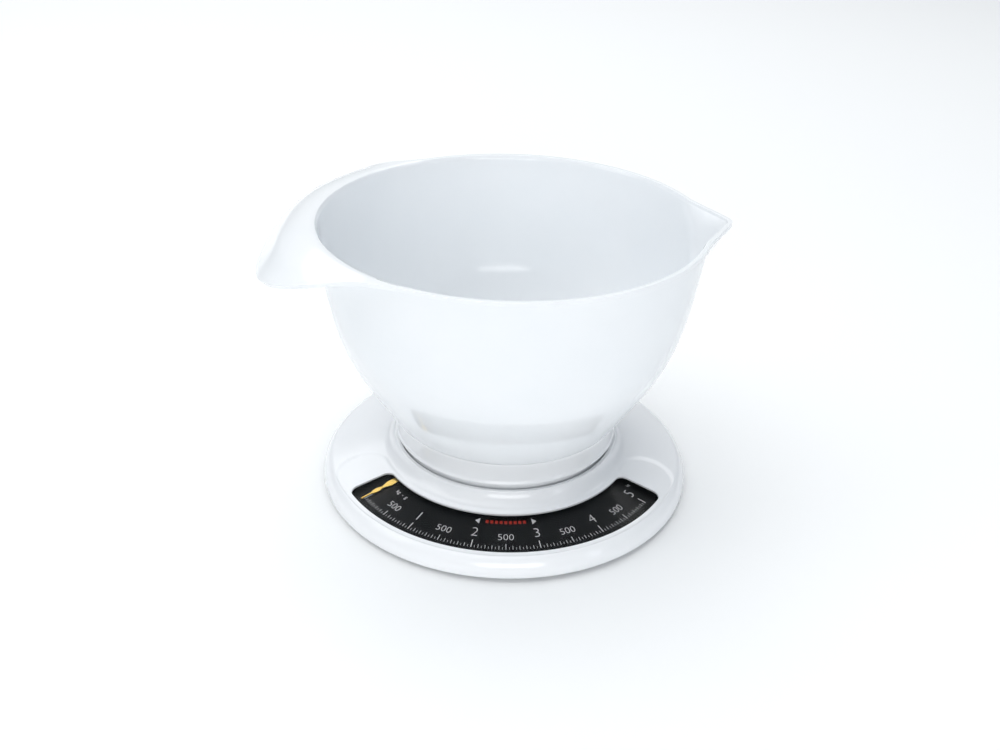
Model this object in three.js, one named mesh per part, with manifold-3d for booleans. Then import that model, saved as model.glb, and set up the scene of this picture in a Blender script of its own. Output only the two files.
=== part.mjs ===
// A mechanical kitchen scale with a lift-off mixing bowl, built as a three.js scene graph.
// Millimetres, +Z up. In the scale's own group the axis of the round body is X = Y = 0, the
// spout points to +X, the handle to -X, the dial faces -Y, and the feet stand on Z = 0.

import * as THREE from "three";
import { mergeVertices } from "three/addons/utils/BufferGeometryUtils.js";
import Module from "manifold-3d";

const wasm = await Module();
wasm.setup();
const degrees = Math.PI / 180;
const housingSides = 60; // facets round each turned piece of the housing

// ---- Driving sizes

const baseRadius = 104;
const rimHeight = 155;
const rimRadius = 101.1;
const travel = 2; // how far the platform sinks under the full load
const dialTurn = 114.5 * degrees; // how far the pointer turns under the full load
const seat = 0.1; // gap between two pieces that are fastened face to face
const gap = 0.3; // gap round a piece that drops into another
const running = 0.06; // radial clearance of a turning shaft

// bowl
const bowlWall = 2.2;
const bowlFloor = 42;
const footRadius = 60;
const footWidth = 3.5;
const lipReach = 1;
const handleReach = 28;
const handleDrop = 17.9;
const handleDropSweep = 52 * degrees; // to each side of the handle's middle
const handleFlat = 21 * degrees; // half the sweep at full reach
const handleFade = 43 * degrees; // sweep of each shoulder beside it
const handleDip = 0.1; // share of the reach given up at the middle, for a straight edge
const handleCrease = 0.6; // share of the reach where the curved part ends
const spoutReach = 11.9;
const spoutHalfSweep = 18 * degrees;
const spoutDepth = 26;

// platform
const deckHeight = 40;
const deckWall = 2.4;
const collarWall = 2;
const collarRise = 3.4;
const collarHeight = 10;
const guideDepth = 9.5;
const guideWall = 2.2;
const postRadius = 4;
const postX = 38;
const postY = 12;

// housing
const coverWall = 2;
const skirtWall = 2.6;
const skirtClear = 2.8; // height of the skirt's edge above the table
const shoulderWidth = 5.5;
const shoulderHeight = 13.6;
const flareWidth = 6;
const mouthHeight = 26.6;
const mouthWall = 2.2;
const mouthGap = 2;
const panStand = 2.2;
const panWall = 2.2;
const panRise = 4.6;
const panGap = 1.2;

// dial window, in the recessed track round the front of the cover
const trackDepth = 0.8;
const trackMargin = 0.8;
const trackHalfSweep = 79 * degrees;
const windowMargin = 1.4;
const windowEdge = 2.6;
const windowHalfSweep = 62.2 * degrees;
const windowCorner = 5;
const flangeWidth = 2.3;
const flangeWall = 0.8;
const dialDepth = 4.6; // from the cover's surface down to the dial
const dialWall = 1;
const dialHalfSweep = 72 * degrees;
const dialScrewSweep = 68.5 * degrees;
const pointerDepth = 3.3;
const pointerWall = 0.5;
const pointerClear = 1.4; // gap between the load frame and the pointer above it

// levers
const leverWall = 1.6;
const leverWidth = 5;
const leverArm = 25; // from a fulcrum to the load
const fulcrumY = 44; // fulcrum lines lie this far in front of and behind the axis
const fulcrumLift = 5.6; // above the pan
const mainFulcrumX = 30;
const mainTipX = 9.5;
const mainTipY = 18;
const shortFulcrumX = 34;
const shortTipX = 22;
const pinRadius = 1.2;
const earWall = 1.6;
const earGap = 0.9;
const frameLift = 3.6; // load frame above the fulcrum line
const frameWall = 1.6;

// movement
const gearModule = 0.5;
const pinionTeeth = 13;
const arborRadius = 1;
const crankX = -5.8;
const crankY = 30;
const crankWall = 1.6;
const crankSwing = 17 * degrees; // to each side of upright
const cageWall = 1.5;
const rackWidth = 4;
const rackWall = 2.4;

// main spring and zero setting
const springY = 24.5;
const springRadius = 2.9;
const wireRadius = 0.5;
const springTurns = 6;
const zeroPivotY = 38;
const zeroPivotZ = 30;
const zeroStudY = baseRadius - 12;
const zeroWheelRadius = 12.6;
const zeroWheelWall = 2;

// ---- Sizes worked out from those

const panTop = panStand + panWall;
const skirtInner = baseRadius - skirtWall;
const panOuter = skirtInner - panGap;
const shoulderRadius = baseRadius - shoulderWidth;
const collarRadius = footRadius + 2 * gap + collarWall;
const mouthInner = collarRadius - 1.8;
const mouthOuter = mouthInner + mouthWall;
const coneInner = mouthOuter + flareWidth;
const windowInner = coneInner + trackMargin + windowMargin;
const windowOuter = shoulderRadius + 0.3 - windowEdge;
const fulcrumZ = panTop + fulcrumLift;
const restTilt = travel / (2 * leverArm);
const frameZ = fulcrumZ + frameLift;
const pitchRadius = (gearModule * pinionTeeth) / 2;
const rackStroke = pitchRadius * dialTurn;
const crankTipY = mainTipY + 4;
const crankArm = ((crankTipY + fulcrumY) * restTilt) / Math.sin(crankSwing);
const crankRise = rackStroke / 2 / Math.sin(crankSwing);
const rackZ = fulcrumZ + (crankRise * (1 + Math.cos(crankSwing))) / 2;
const pointerBend = mouthOuter;
const pointerZ = frameZ + frameWall + pointerClear;
const coneTop = pointerZ + pointerWall + pointerDepth; // height of the cover over the pointer's bend
const coneSlope = (coneTop - shoulderHeight) / (shoulderRadius - pointerBend);
const groupShift = (handleReach - spoutReach) / 2;

// Height of the cover's sloping top at a distance from the axis.
function coneHeight(radius) {
  return shoulderHeight + coneSlope * (shoulderRadius - radius);
}

// ---- Building helpers

const finishes = {
  bowl: { color: 0xf4f7f8, roughness: 0.16, metalness: 0 },
  shell: { color: 0xf1f4f5, roughness: 0.2, metalness: 0 },
  clear: { color: 0x202428, roughness: 0.05, metalness: 0 },
  dial: { color: 0x141414, roughness: 0.5, metalness: 0 },
  gold: { color: 0xc9a24a, roughness: 0.35, metalness: 0.8 },
  steel: { color: 0xb4b8bb, roughness: 0.4, metalness: 0.9 },
  brass: { color: 0xb89a52, roughness: 0.35, metalness: 0.9 },
  nylon: { color: 0xe6e3da, roughness: 0.5, metalness: 0 },
  rubber: { color: 0x3a3c3d, roughness: 0.85, metalness: 0 },
};

function toSolid(geometry) {
  const bare = geometry.clone();
  bare.deleteAttribute("normal");
  bare.deleteAttribute("uv");
  const merged = mergeVertices(bare, 1e-4);
  return new wasm.Manifold(
    new wasm.Mesh({
      numProp: 3,
      vertProperties: new Float32Array(merged.attributes.position.array),
      triVerts: new Uint32Array(merged.index.array),
    }),
  );
}

function toGeometry(solid) {
  const { vertProperties, triVerts } = solid.getMesh();
  const geometry = new THREE.BufferGeometry();
  geometry.setAttribute("position", new THREE.BufferAttribute(vertProperties, 3));
  geometry.setIndex(new THREE.BufferAttribute(triVerts, 1));
  geometry.computeVertexNormals();
  return geometry;
}

function join(...pieces) {
  return toGeometry(pieces.map(toSolid).reduce((whole, piece) => whole.add(piece)));
}

function cut(body, ...tools) {
  return toGeometry(tools.map(toSolid).reduce((rest, tool) => rest.subtract(tool), toSolid(body)));
}

function common(one, other) {
  return toGeometry(toSolid(one).intersect(toSolid(other)));
}

// Turns a closed outline of [radius, height] points round the Z axis.
function turned(outline, segments = 24) {
  const points = outline.map(([radius, height]) => new THREE.Vector2(radius, height));
  if (THREE.ShapeUtils.area(points) < 0) points.reverse();
  const first = points[0];
  const last = points[points.length - 1];
  if (first.x > 0 || last.x > 0) points.push(first.clone());
  return new THREE.LatheGeometry(points, segments).rotateX(Math.PI / 2);
}

function block(x0, x1, y0, y1, z0, z1) {
  const box = new THREE.BoxGeometry(x1 - x0, y1 - y0, z1 - z0);
  return box.translate((x0 + x1) / 2, (y0 + y1) / 2, (z0 + z1) / 2);
}

function rod(radius, z0, z1, x = 0, y = 0, sides = 16) {
  const bar = new THREE.CylinderGeometry(radius, radius, z1 - z0, sides);
  return bar.rotateX(Math.PI / 2).translate(x, y, (z0 + z1) / 2);
}

function crossRod(radius, x0, x1, y = 0, z = 0, sides = 16) {
  const bar = new THREE.CylinderGeometry(radius, radius, x1 - x0, sides);
  return bar.rotateZ(Math.PI / 2).translate((x0 + x1) / 2, y, z);
}

function plate(shape, z0, z1, curveSegments = 4) {
  const depth = z1 - z0;
  const slab = new THREE.ExtrudeGeometry(shape, { depth, bevelEnabled: false, curveSegments });
  return slab.translate(0, 0, z0);
}

// A flat bar with round ends between two points.
function barShape(x0, y0, x1, y1, width) {
  const lean = Math.atan2(y1 - y0, x1 - x0);
  const quarter = Math.PI / 2;
  const shape = new THREE.Shape();
  shape.absarc(x1, y1, width / 2, lean - quarter, lean + quarter);
  shape.absarc(x0, y0, width / 2, lean + quarter, lean + 3 * quarter);
  return shape.closePath();
}

function roundedShape(x0, x1, y0, y1, corner) {
  const quarter = Math.PI / 2;
  const shape = new THREE.Shape();
  shape.absarc(x1 - corner, y0 + corner, corner, -quarter, 0);
  shape.absarc(x1 - corner, y1 - corner, corner, 0, quarter);
  shape.absarc(x0 + corner, y1 - corner, corner, quarter, 2 * quarter);
  shape.absarc(x0 + corner, y0 + corner, corner, 2 * quarter, 3 * quarter);
  return shape.closePath();
}

function arcPoints(x, y, radius, from, to, steps) {
  return Array.from({ length: steps + 1 }, (_, i) => {
    const angle = THREE.MathUtils.lerp(from, to, i / steps);
    return new THREE.Vector2(x + radius * Math.cos(angle), y + radius * Math.sin(angle));
  });
}

// A sector of a ring about the -Y direction, with rounded corners.
function sectorShape(inner, outer, halfSweep, corner) {
  const middle = -Math.PI / 2;
  const turn = Math.PI / 2;
  const outerEnd = halfSweep - Math.asin(corner / (outer - corner));
  const innerEnd = halfSweep - Math.asin(corner / (inner + corner));
  const cornerAt = (radius, angle, from, to) => arcPoints(...polar(radius, angle), corner, from, to, 4);
  return new THREE.Shape([
    ...arcPoints(0, 0, outer, middle - outerEnd, middle + outerEnd, 20),
    ...cornerAt(outer - corner, middle + outerEnd, middle + outerEnd, middle + halfSweep + turn),
    ...cornerAt(inner + corner, middle + innerEnd, middle + halfSweep + turn, middle + innerEnd + 2 * turn),
    ...arcPoints(0, 0, inner, middle + innerEnd, middle - innerEnd, 20),
    ...cornerAt(inner + corner, middle - innerEnd, middle - innerEnd - 2 * turn, middle - halfSweep - turn),
    ...cornerAt(outer - corner, middle - outerEnd, middle - halfSweep - turn, middle - outerEnd),
  ]);
}

// The part of a cone-shaped layer, between two depths under the cover's top, inside a flat shape.
function coneLayer(shape, topDepth, bottomDepth) {
  const near = mouthInner - 4;
  const far = baseRadius + 2;
  const ring = turned(
    [
      [near, coneHeight(near) - bottomDepth],
      [far, coneHeight(far) - bottomDepth],
      [far, coneHeight(far) - topDepth],
      [near, coneHeight(near) - topDepth],
    ],
    housingSides,
  );
  return common(ring, plate(shape, -baseRadius, baseRadius));
}

function bezier(points, steps) {
  const curve = new THREE.CubicBezierCurve(...points.map(([x, y]) => new THREE.Vector2(x, y)));
  return curve.getPoints(steps).map((point) => [point.x, point.y]);
}

function polar(radius, angle) {
  return [radius * Math.cos(angle), radius * Math.sin(angle)];
}

function piece(name, geometry, finish, position = [0, 0, 0]) {
  const mesh = new THREE.Mesh(geometry, new THREE.MeshStandardMaterial(finishes[finish]));
  mesh.name = name;
  mesh.position.set(...position);
  return mesh;
}

// A pan-head screw that points up from the underside of its head, at Z = 0.
function screwGeometry(length, radius = 1.25) {
  const head = 2 * radius;
  const outline = [
    [0, -1.1],
    [head - 0.4, -1.1],
    [head, -0.7],
    [head, 0],
    [radius, 0],
    [radius, length],
    [0, length],
  ];
  return turned(outline, 10);
}

// ---- Bowl

// A share that is 1 at the start and eases to 0 at the end.
function eased(share) {
  return Math.cos((THREE.MathUtils.clamp(share, 0, 1) * Math.PI) / 2) ** 2;
}

function angleFromHandle(angle) {
  return Math.abs(Math.atan2(-Math.sin(angle), -Math.cos(angle)));
}

// How far out the handle reaches at an angle from +X, as a share of its full reach.
function handleShare(angle) {
  const away = angleFromHandle(angle);
  return eased((away - handleFlat) / handleFade) - handleDip * eased(away / handleFlat);
}

// How far down its outer edge drops there, as a share of the full drop.
function dropShare(angle) {
  return eased((angleFromHandle(angle) / handleDropSweep) ** 1.6);
}

// How far the spout pulls the wall out at an angle and a height: flat sides meeting at a tip.
function spoutPull(angle, height) {
  const tip = rimRadius + spoutReach;
  const across = rimRadius * Math.sin(spoutHalfSweep);
  const along = tip - rimRadius * Math.cos(spoutHalfSweep);
  const normal = Math.atan2(along, across);
  if (Math.abs(angle) > spoutHalfSweep) return 0;
  const side = (tip * Math.cos(normal)) / Math.cos(normal - Math.abs(angle)) - rimRadius;
  const share = THREE.MathUtils.clamp(1 - (rimHeight - height) / spoutDepth, 0, 1);
  return Math.max(0, side - (1 - share) * spoutReach);
}

// The bowl's closed outline as [radius, height] points, on the half plane at an angle.
function bowlSection(angle) {
  const start = [footRadius + 3.4, bowlFloor + 1.9];
  const belly = new THREE.CubicBezierCurve(
    new THREE.Vector2(...start),
    new THREE.Vector2(start[0] + 26, start[1] + 42),
    new THREE.Vector2(rimRadius - 7.2, rimHeight - 68),
    new THREE.Vector2(rimRadius, rimHeight - bowlWall),
  );
  const steps = 8;
  const outer = [];
  const inner = [];
  for (let i = 0; i <= steps; i++) {
    const point = belly.getPoint(i / steps);
    const along = belly.getTangent(i / steps);
    const inside = [point.x - bowlWall * along.y, point.y + bowlWall * along.x];
    outer.push([point.x + spoutPull(angle, point.y), point.y]);
    inner.unshift([inside[0] + spoutPull(angle, inside[1]), inside[1]]);
  }
  const share = handleShare(angle);
  const reach = lipReach + handleReach * share;
  const drop = handleDrop * dropShare(angle);
  const pull = spoutPull(angle, rimHeight);
  const creaseDrop = 0.9 * handleCrease ** 2;
  const edgeSlope = (1 - creaseDrop) / (1 - handleCrease);
  const fallAt = (u) => (u < handleCrease ? 0.9 * u * u : creaseDrop + edgeSlope * (u - handleCrease));
  const slopeAt = (u) => (u < handleCrease ? 1.8 * u : edgeSlope);
  const lipTop = [];
  const lipUnder = [];
  for (const u of [0.2, 0.4, handleCrease, 0.8, 1]) {
    const radius = rimRadius + pull + reach * u;
    const height = rimHeight - drop * fallAt(u);
    const steepness = (drop * slopeAt(u)) / reach;
    lipUnder.push([radius, height - bowlWall * Math.sqrt(1 + steepness ** 2)]);
    lipTop.unshift([radius, height]);
  }
  const rim = [rimRadius - bowlWall + 0.7 + pull, rimHeight];
  return [
    [0, bowlFloor],
    [footRadius - footWidth, bowlFloor],
    [footRadius - footWidth, deckHeight + gap],
    [footRadius, deckHeight + gap],
    [footRadius + 0.1, start[1]],
    ...outer,
    ...lipUnder,
    ...lipTop,
    rim,
    ...inner,
    [footRadius - 0.4, bowlFloor + bowlWall],
    [0, bowlFloor + bowlWall],
  ];
}

// Squeezes the columns of the bowl together round the spout and the handle.
function bowlAngle(angle) {
  return angle - 0.25 * Math.sin(2 * angle);
}

function bowlGeometry() {
  const columns = 60;
  const geometry = turned(bowlSection(Math.PI / 2), columns);
  const position = geometry.attributes.position;
  const rows = position.count / (columns + 1);
  for (let column = 0; column <= columns; column++) {
    const angle = bowlAngle(((column % columns) / columns) * 2 * Math.PI - Math.PI);
    const section = bowlSection(angle);
    for (let row = 0; row < rows; row++) {
      const [radius, height] = section[row];
      position.setXYZ(column * rows + row, ...polar(radius, angle), height);
    }
  }
  return geometry;
}

// ---- Platform

function deckGeometry() {
  const lip = deckHeight + collarRise;
  const skirt = deckHeight - collarHeight;
  const guide = mouthInner - mouthGap;
  const outline = [
    [0, deckHeight],
    [footRadius + 0.2, deckHeight],
    [footRadius + 2 * gap, lip],
    [collarRadius, lip],
    [collarRadius + 0.4, lip - 0.4],
    [collarRadius - 1.1, skirt + 1.6],
    [collarRadius - 0.4, skirt + 1],
    [collarRadius - 0.4, skirt],
    [guide, skirt],
    [guide, skirt - guideDepth],
    [guide - guideWall, skirt - guideDepth],
    [guide - guideWall, deckHeight - deckWall],
    [0, deckHeight - deckWall],
  ];
  const posts = cornerPoints(postX, postY).map(([x, y]) =>
    rod(postRadius, frameZ + frameWall + seat, deckHeight - deckWall / 2, x, y, 20),
  );
  const holes = cornerPoints(postX, postY).map(([x, y]) => rod(1.4, frameZ, frameZ + 10, x, y, 12));
  return cut(join(turned(outline, 48), ...posts), ...holes);
}

function cornerPoints(x, y) {
  return [
    [-x, -y],
    [x, -y],
    [x, y],
    [-x, y],
  ];
}

// Where the lever arms stand at a distance in front of or behind the axis.
function mainArmX(y) {
  const share = (y + fulcrumY) / (mainTipY + fulcrumY);
  return THREE.MathUtils.lerp(mainFulcrumX, mainTipX, share);
}

function shortArmX(y) {
  return THREE.MathUtils.lerp(shortTipX, shortFulcrumX, y / fulcrumY);
}

const loadY = fulcrumY - leverArm;
const openHalfWidth = mainTipX + 1.5;

function loadFrameGeometry() {
  const sideX = postX + postRadius + 1;
  const backY = postY + postRadius + 8;
  const frontY = loadY + leverWidth;
  const slab = plate(roundedShape(-sideX, sideX, -frontY, backY, 4), frameZ, frameZ + frameWall);
  const opening = block(-openHalfWidth, openHalfWidth, -postY, backY + 1, frameZ - 1, frameZ + frameWall + 1);
  const leverTop = fulcrumZ + leverArm * restTilt + leverWall / 2;
  const feet = [];
  for (const side of [-1, 1]) {
    feet.push(rod(1.8, leverTop + gap, frameZ + 0.5, side * mainArmX(-loadY), -loadY));
    feet.push(rod(1.8, leverTop + gap, frameZ + 0.5, side * shortArmX(loadY), loadY));
  }
  const holes = cornerPoints(postX, postY).map(([x, y]) => rod(1.4, frameZ - 1, frameZ + 3, x, y, 12));
  return cut(join(slab, ...feet), opening, ...holes);
}

// ---- Levers, each drawn level about its own fulcrum line

function mainLeverGeometry() {
  const half = leverWall / 2;
  const inset = half - 0.1; // the cross pieces are a little thinner than the arms
  const tipY = mainTipY + fulcrumY;
  const reach = mainFulcrumX + leverWidth / 2 + earGap + earWall + 2;
  const flat = (shape) => plate(shape, -half, half);
  const pieces = [
    plate(roundedShape(1 - mainFulcrumX, mainFulcrumX - 1, 2, 7, 1), -inset, inset),
    plate(roundedShape(-mainTipX - 3.2, mainTipX + 3.2, tipY - 2.5, crankTipY + fulcrumY, 1), -inset, inset),
    plate(roundedShape(-3, 3, tipY, springY + fulcrumY + 2.5, 1), 0.1 - inset, inset - 0.1),
  ];
  for (const side of [-1, 1]) {
    const joint = mainArmX(0);
    const tab = [side * (joint - 2), side * (shortTipX + leverWidth / 2)].sort((a, b) => a - b);
    const riser = [side * (joint - 2), side * (joint + 2)].sort((a, b) => a - b);
    const pin = [side * (mainFulcrumX - 2), side * reach].sort((a, b) => a - b);
    pieces.push(flat(barShape(side * mainFulcrumX, 0, side * mainTipX, tipY, leverWidth)));
    pieces.push(block(...tab, fulcrumY - 2.5, fulcrumY + 2.5, -half - 1.6, -half - 0.4));
    pieces.push(block(...riser, fulcrumY - 2.5, fulcrumY + 2.5, -half - 1, 0));
    pieces.push(crossRod(pinRadius, ...pin));
  }
  return cut(join(...pieces), rod(1.2, -2, 2, 0, springY + fulcrumY, 12));
}

function shortLeverGeometry() {
  const half = leverWall / 2;
  const inset = half - 0.1; // the cross pieces are a little thinner than the arms
  const reach = shortFulcrumX + leverWidth / 2 + earGap + earWall + 2;
  const flat = (shape) => plate(shape, -half, half);
  const pieces = [plate(roundedShape(1 - shortFulcrumX, shortFulcrumX - 1, -6.4, -2.2, 1), -inset, inset)];
  for (const side of [-1, 1]) {
    const pin = [side * (shortFulcrumX - 2), side * reach].sort((a, b) => a - b);
    pieces.push(flat(barShape(side * shortFulcrumX, 0, side * shortTipX, -fulcrumY, leverWidth)));
    pieces.push(crossRod(pinRadius, ...pin));
  }
  return join(...pieces);
}

const bracketScrewX = 20;

// A strip across the pan with an upright ear for each end of a lever's pin.
function fulcrumBracketGeometry(fulcrumX) {
  const bottom = panTop + seat;
  const earX = fulcrumX + leverWidth / 2 + earGap;
  const end = earX + earWall + 1;
  const strip = plate(roundedShape(-end, end, -3, 3, 0.5), bottom, bottom + 1.4);
  const ears = [
    block(earX, earX + earWall, -2.6, 2.6, bottom + 0.3, fulcrumZ + 3),
    block(-earX - earWall, -earX, -2.6, 2.6, bottom + 0.3, fulcrumZ + 3),
  ];
  return cut(
    join(strip, ...ears),
    crossRod(pinRadius + gap, -earX - 5, earX + 5, 0, fulcrumZ),
    rod(1.4, bottom - 1, bottom + 3, -bracketScrewX, 0, 12),
    rod(1.4, bottom - 1, bottom + 3, bracketScrewX, 0, 12),
  );
}

// ---- Movement

const cageFloor = fulcrumZ + 2;
const cageRoof = rackZ + rackWall / 2 + 3;
const cageHalfWidth = 7;
const cageScrewX = 4.5;
const cageScrewY = 8;
const bushRadius = 2.2;

function cageGeometry() {
  const back = mainTipY - 4;
  const body = join(
    block(-cageHalfWidth, cageHalfWidth, -6, back, cageFloor, cageFloor + cageWall),
    block(1, cageHalfWidth, back - cageWall, back, cageFloor, cageRoof + cageWall),
    block(-pitchRadius - 7.2, cageHalfWidth, -5, back, cageRoof, cageRoof + cageWall),
  );
  return cut(
    body,
    rod(bushRadius + seat, cageFloor - 1, cageRoof + 3, 0, 0, 20),
    rod(1.15, cageRoof - 1, cageRoof + 3, keeperX, 0, 12),
    rod(1.4, cageFloor - 1, cageFloor + 3, -cageScrewX, cageScrewY, 12),
    rod(1.4, cageFloor - 1, cageFloor + 3, cageScrewX, cageScrewY, 12),
  );
}

const rackBack = -pitchRadius - 0.55 - rackWidth;
const keeperX = rackBack - 0.3 - 0.9;

// A nylon guide that holds the rack's back, top and bottom, hung from the cage's roof.
function keeperGeometry() {
  const top = rackZ + rackWall / 2 + gap;
  const bottom = rackZ - rackWall / 2 - gap;
  return join(
    block(keeperX - 0.9, rackBack - gap, -4, 4, bottom - 1.1, cageRoof - seat),
    block(keeperX, rackBack + 2, -4, 4, bottom - 1.1, bottom),
    block(keeperX, rackBack + 2, -4, 4, top, cageRoof - seat),
    rod(0.9, cageRoof - 1, cageRoof + cageWall, keeperX, 0, 12),
  );
}

// A flanged bush: the flange is the lower 0.7 mm.
function bushGeometry(length) {
  const bore = arborRadius + running;
  return turned(
    [
      [bore, 0],
      [bushRadius + 1, 0],
      [bushRadius + 1, 0.7],
      [bushRadius, 0.7],
      [bushRadius, length],
      [bore, length],
    ],
    20,
  );
}

function arborGeometry() {
  return rod(arborRadius, cageFloor - 0.8, cageRoof + cageWall + 0.8, 0, 0, 20);
}

// One spur gear tooth after another, with involute flanks of a few points each.
function pinionShape() {
  const pressure = 20 * degrees;
  const baseCircle = pitchRadius * Math.cos(pressure);
  const tipCircle = pitchRadius + 0.8 * gearModule;
  const rootCircle = pitchRadius - 1.1 * gearModule;
  const backlash = 0.12;
  const involute = (radius) => {
    const roll = Math.sqrt(Math.max(0, (radius / baseCircle) ** 2 - 1));
    return roll - Math.atan(roll);
  };
  const halfTooth = (gearModule * Math.PI) / 4 / pitchRadius - backlash / 2 / pitchRadius;
  const flank = [baseCircle, pitchRadius, tipCircle].map((radius) => ({
    radius,
    swing: halfTooth + involute(pitchRadius) - involute(radius),
  }));
  const points = [];
  for (let tooth = 0; tooth < pinionTeeth; tooth++) {
    const middle = Math.PI + ((tooth + 0.5) * 2 * Math.PI) / pinionTeeth;
    const rootSwing = flank[0].swing + 0.02;
    points.push(polar(rootCircle, middle - rootSwing));
    flank.forEach(({ radius, swing }) => points.push(polar(radius, middle - swing)));
    [...flank].reverse().forEach(({ radius, swing }) => points.push(polar(radius, middle + swing)));
    points.push(polar(rootCircle, middle + rootSwing));
  }
  return new THREE.Shape(points.map(([x, y]) => new THREE.Vector2(x, y)));
}

function pinionGeometry() {
  const half = rackWall / 2 + 0.5;
  const blank = plate(pinionShape(), rackZ - half, rackZ + half);
  return cut(blank, rod(arborRadius + running, rackZ - 4, rackZ + 4, 0, 0, 20));
}

const crankTopY = crankY + crankRise * Math.sin(crankSwing);

// The rack at rest: teeth towards the pinion, and a slot for the crank's round head.
function rackGeometry() {
  const pitch = Math.PI * gearModule;
  const root = -pitchRadius - 0.55;
  const tip = -pitchRadius + 0.8 * gearModule;
  const widthAtRoot = pitch / 2 + 0.55 * 2 * Math.tan(20 * degrees) - 0.12;
  const widthAtTip = pitch / 2 - 0.8 * gearModule * 2 * Math.tan(20 * degrees) - 0.12;
  const teethBelow = 2;
  const teethAbove = Math.ceil(rackStroke / pitch) + 2;
  const front = -(teethBelow + 0.5) * pitch;
  const back = crankTopY + 3;
  const shape = new THREE.Shape();
  shape.moveTo(rackBack, front);
  shape.lineTo(root, front);
  for (let tooth = -teethBelow; tooth <= teethAbove; tooth++) {
    shape.lineTo(root, tooth * pitch - widthAtRoot / 2);
    shape.lineTo(tip, tooth * pitch - widthAtTip / 2);
    shape.lineTo(tip, tooth * pitch + widthAtTip / 2);
    shape.lineTo(root, tooth * pitch + widthAtRoot / 2);
  }
  shape.lineTo(root, back);
  shape.lineTo(rackBack, back);
  const bar = plate(shape.closePath(), rackZ - rackWall / 2, rackZ + rackWall / 2);
  const slotX = crankWall / 2 + gap;
  const slotY = 1.6;
  const slot = block(-slotX, slotX, -slotY, slotY, rackZ - 3, rackZ + 3).translate(crankX, crankTopY, 0);
  return cut(bar, slot);
}

// The bell crank about its own pin, upright: a fork that takes the lever's edge, and a round head.
function crankGeometry() {
  const half = crankWall / 2;
  const forkRoot = crankArm - 1.7;
  const shape = new THREE.Shape();
  shape.moveTo(-0.8, crankRise - 1);
  shape.lineTo(-1.6, 1.8);
  shape.lineTo(-forkRoot + 1.2, 1.6);
  shape.lineTo(-crankArm + 0.6, 2);
  shape.lineTo(-crankArm - 0.9, 2);
  shape.lineTo(-crankArm - 0.9, 1.3);
  shape.lineTo(-forkRoot, 1.3);
  shape.lineTo(-forkRoot, -1.3);
  shape.lineTo(-crankArm - 0.9, -1.3);
  shape.lineTo(-crankArm - 0.9, -2);
  shape.lineTo(-crankArm + 0.6, -2);
  shape.lineTo(0, -2.2);
  shape.lineTo(2.2, 0);
  shape.lineTo(0.8, crankRise - 1);
  const standing = (geometry) => geometry.rotateX(Math.PI / 2).rotateZ(Math.PI / 2);
  const head = new THREE.Shape();
  head.absarc(0, crankRise, 1.3, 0, 2 * Math.PI);
  const arms = standing(plate(shape.closePath(), -half, half));
  const body = join(arms, standing(plate(head, -half - 0.1, half + 0.1, 8)));
  return cut(body, crossRod(0.9 + running, -3, 3));
}

function crankBracketGeometry() {
  const bottom = panTop + seat;
  const earX = crankWall / 2 + 0.4;
  return cut(
    join(
      block(-8, earX + 1, -2.5, 2.5, bottom, bottom + 1.2),
      block(earX, earX + 1, -1.6, 1.6, bottom, fulcrumZ + 1.8),
      block(-earX - 1, -earX, -1.6, 1.6, bottom, fulcrumZ + 1.8),
    ),
    crossRod(0.9 + running, -5, 5, 0, fulcrumZ),
    rod(1.4, bottom - 1, bottom + 3, -5.4, 0, 12),
  );
}

// ---- Pointer

function pointerGeometry() {
  const slope = Math.atan(coneSlope);
  const bend = pointerBend;
  const length = (radius) => (radius - bend) / Math.cos(slope);
  const root = length(windowInner);
  const tip = length(windowOuter - 3.8);
  const arm = new THREE.Shape();
  arm.moveTo(bend + 0.4, -2);
  arm.lineTo(bend + 0.4, 2);
  arm.lineTo(3, 1.2);
  arm.lineTo(-9, 2.4);
  arm.lineTo(-9, -2.4);
  arm.lineTo(3, -1.2);
  const neck = root + (tip - root) * 0.39;
  const lozengeEnd = root + (tip - root) * 0.72;
  const blade = new THREE.Shape();
  blade.moveTo(0, -2);
  blade.lineTo(root + (tip - root) * 0.2, -2);
  blade.lineTo(neck, -0.5);
  blade.quadraticCurveTo((neck + lozengeEnd) / 2, -2.5, lozengeEnd, -0.4);
  blade.lineTo(tip, -0.3);
  blade.lineTo(tip, 0.3);
  blade.lineTo(lozengeEnd, 0.4);
  blade.quadraticCurveTo((neck + lozengeEnd) / 2, 2.5, neck, 0.5);
  blade.lineTo(root + (tip - root) * 0.2, 2);
  blade.lineTo(0, 2);
  const sloping = plate(blade.closePath(), 0, pointerWall).rotateY(slope).translate(bend, 0, 0);
  const whole = join(plate(arm.closePath(), 0, pointerWall), sloping);
  return cut(whole, rod(arborRadius + running, -2, 2, 0, 0, 20));
}

function hubGeometry() {
  const bore = arborRadius + running;
  return turned(
    [
      [bore, 0],
      [3, 0],
      [3, 1.8],
      [bore, 1.8],
    ],
    20,
  );
}

// ---- Main spring and zero setting

const springFoot = fulcrumZ + (springY + fulcrumY) * restTilt;

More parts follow.
